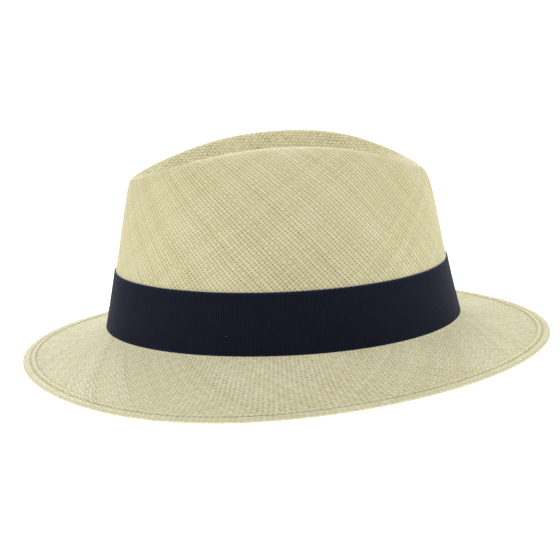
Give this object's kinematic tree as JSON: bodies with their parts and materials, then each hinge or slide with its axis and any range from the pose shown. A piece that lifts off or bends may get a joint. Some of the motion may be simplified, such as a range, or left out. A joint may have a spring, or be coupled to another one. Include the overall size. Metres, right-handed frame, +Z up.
{
  "type": "fedora hat",
  "caption": "Straw fedora with a teardrop-creased, front-pinched crown, a turned and stitched brim edge, a dark grosgrain band with a flat side bow and a leather sweatband.",
  "frame": {"origin": "on the surface that the hat stands on, under the middle of the brim's outline", "axes": "+Z up, the front of the hat faces -Y, the wearer's left (the bow's side) is +X"},
  "size_m": [0.2838, 0.3092, 0.1221],
  "materials": {
    "toquilla_straw": "plaited palm straw, semi-matt",
    "straw_thread": "cotton thread",
    "navy_grosgrain": "ribbed ribbon with a low sheen",
    "navy_thread": "matt thread",
    "tan_leather": "smooth, satin",
    "reed_cord": "smooth",
    "black_tape": "plain woven tape",
    "label_cloth": "plain woven, blank",
    "black_satin": "satin"
  },
  "bodies": {
    "root": {"straw_body": "toquilla_straw", "brim_stitching": "straw_thread", "hat_band": "navy_grosgrain", "band_tacks": "navy_thread", "bow_loop": "navy_grosgrain", "bow_tail": "navy_grosgrain", "bow_knot": "navy_grosgrain", "sweatband": "tan_leather", "sweatband_reed": "reed_cord", "reed_tape": "black_tape", "sweatband_stitching": "straw_thread", "seam_tape": "black_tape", "size_label": "label_cloth", "sweatband_bow": "black_satin"}
  },
  "joints": []
}
